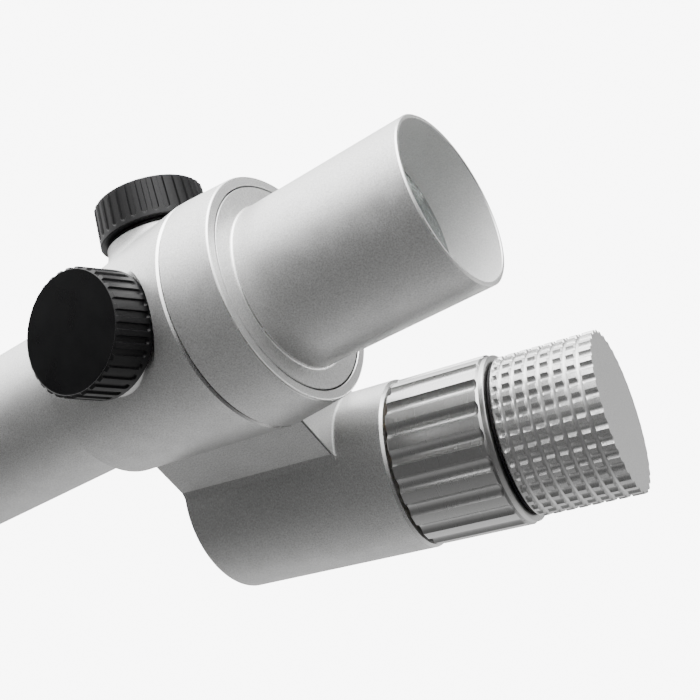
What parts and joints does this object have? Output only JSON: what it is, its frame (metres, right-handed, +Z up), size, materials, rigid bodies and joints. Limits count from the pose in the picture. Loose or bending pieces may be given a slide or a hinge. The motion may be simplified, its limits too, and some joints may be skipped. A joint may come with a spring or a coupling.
{
  "type": "tube finder sight",
  "caption": "Straight 30 mm tube finder sight with capped elevation and windage adjusters and a splayed battery housing with a fluted brightness switch.",
  "frame": {"origin": "on the optical axis, in the middle of the bare tube where a mounting ring clamps", "axes": "+Y along the optical axis towards the target, +Z up through the elevation adjuster, +X right through the windage adjuster"},
  "size_m": [0.0778, 0.1431, 0.0765],
  "materials": {
    "blasted_aluminium": "bead-blasted, silver anodised, satin with fine grain",
    "machined_aluminium": "fine turned, silver anodised, semi-bright",
    "black_anodised": "matt black anodised",
    "black_plastic": "moulded, satin black",
    "rubber": "matt black",
    "brass": "turned",
    "steel": "ground",
    "glass": "polished, coated",
    "circuit_board": "solder resist",
    "liner_plastic": "satin white",
    "cell_wrap": "printed-free shrink wrap, grey",
    "emitter": "clear red"
  },
  "bodies": {
    "sight_body": {"turret_housing": "blasted_aluminium", "objective_tube": "blasted_aluminium", "rear_collar": "blasted_aluminium", "eyepiece_tube": "blasted_aluminium", "eyepiece_window": "glass", "eyepiece_seal": "rubber", "objective_window": "glass", "objective_seal": "rubber", "objective_ring": "black_anodised", "pitch_pin_left": "steel", "pitch_pin_right": "steel", "elevation_bush": "brass", "windage_bush": "brass", "elevation_spring": "steel", "windage_spring": "steel", "battery_barrel": "machined_aluminium", "contact_board": "circuit_board", "rear_contact": "brass", "resistor_board": "circuit_board", "detent_ball": "steel", "detent_spring": "steel", "switch_seal": "rubber", "switch_lock_ring": "steel", "battery_sleeve": "liner_plastic", "battery_cell": "cell_wrap"},
    "gimbal": {"gimbal_ring": "brass", "yaw_pin_top": "steel", "yaw_pin_bottom": "steel"},
    "optical_tube": {"optical_tube": "black_anodised", "objective_lens_front": "glass", "objective_lens_rear": "glass", "lens_ring": "black_anodised", "emitter_bracket": "black_anodised", "emitter_chip": "emitter"},
    "elevation_dial": {"elevation_dial": "machined_aluminium"},
    "elevation_plunger": {"elevation_plunger": "steel"},
    "elevation_cap_seal": {"elevation_cap_seal": "rubber"},
    "elevation_cap": {"elevation_cap": "black_plastic"},
    "windage_dial": {"windage_dial": "machined_aluminium"},
    "windage_plunger": {"windage_plunger": "steel"},
    "windage_cap_seal": {"windage_cap_seal": "rubber"},
    "windage_cap": {"windage_cap": "black_plastic"},
    "switch": {"switch_ring": "machined_aluminium", "switch_wiper": "brass"},
    "battery_cap_seal": {"battery_cap_seal": "rubber"},
    "battery_cap": {"battery_cap": "machined_aluminium", "cap_contact_spring": "steel"}
  },
  "joints": [
    {"name": "tube_pitch", "type": "hinge", "parent": "sight_body", "child": "gimbal", "pos_m": [0, 0.012, 0], "axis": [1, 0, 0], "range_deg": [-0.56, 0.56]},
    {"name": "tube_yaw", "type": "hinge", "parent": "gimbal", "child": "optical_tube", "pos_m": [0, 0.012, 0], "axis": [0, 0, 1], "range_deg": [-0.56, 0.56]},
    {"name": "elevation_dial_turn", "type": "hinge", "parent": "sight_body", "child": "elevation_dial", "pos_m": [0, -0.0501, 0], "axis": [0, 0, 1], "range_deg": [-433, 433]},
    {"name": "elevation_plunger_push", "type": "slide", "parent": "sight_body", "child": "elevation_plunger", "axis": [0, 0, 1], "range_m": [-0.0006, 0.0006]},
    {"name": "elevation_cap_lift", "type": "slide", "parent": "sight_body", "child": "elevation_cap_seal", "axis": [0, 0, 1], "range_m": [0, 0.006]},
    {"name": "elevation_cap_turn", "type": "hinge", "parent": "elevation_cap_seal", "child": "elevation_cap", "pos_m": [0, -0.0501, 0], "axis": [0, 0, 1], "range_deg": [0, 2161]},
    {"name": "windage_dial_turn", "type": "hinge", "parent": "sight_body", "child": "windage_dial", "pos_m": [0, -0.0501, 0], "axis": [1, 0, 0], "range_deg": [-433, 433]},
    {"name": "windage_plunger_push", "type": "slide", "parent": "sight_body", "child": "windage_plunger", "axis": [1, 0, 0], "range_m": [-0.0006, 0.0006]},
    {"name": "windage_cap_lift", "type": "slide", "parent": "sight_body", "child": "windage_cap_seal", "axis": [1, 0, 0], "range_m": [0, 0.006]},
    {"name": "windage_cap_turn", "type": "hinge", "parent": "windage_cap_seal", "child": "windage_cap", "pos_m": [0, -0.0501, 0], "axis": [1, 0, 0], "range_deg": [0, 2161]},
    {"name": "switch_turn", "type": "hinge", "parent": "sight_body", "child": "switch", "pos_m": [-0.03094, -0.075, -0.03094], "axis": [-0.1118, -0.9874, -0.1118], "range_deg": [0, 300]},
    {"name": "battery_cap_lift", "type": "slide", "parent": "sight_body", "child": "battery_cap_seal", "axis": [-0.1118, -0.9874, -0.1118], "range_m": [0, 0.006]},
    {"name": "battery_cap_turn", "type": "hinge", "parent": "battery_cap_seal", "child": "battery_cap", "pos_m": [-0.03094, -0.075, -0.03094], "axis": [-0.1118, -0.9874, -0.1118], "range_deg": [0, 2161]}
  ],
  "couplings": [
    {"joint": "elevation_dial_turn", "follows": "elevation_plunger_push", "rad_per_m": 12566},
    {"joint": "tube_pitch", "follows": "elevation_plunger_push", "rad_per_m": -16.103},
    {"joint": "windage_dial_turn", "follows": "windage_plunger_push", "rad_per_m": 12566},
    {"joint": "tube_yaw", "follows": "windage_plunger_push", "rad_per_m": 16.103},
    {"joint": "elevation_cap_turn", "follows": "elevation_cap_lift", "rad_per_m": 6283.2},
    {"joint": "windage_cap_turn", "follows": "windage_cap_lift", "rad_per_m": 6283.2},
    {"joint": "battery_cap_turn", "follows": "battery_cap_lift", "rad_per_m": 6283.2}
  ]
}
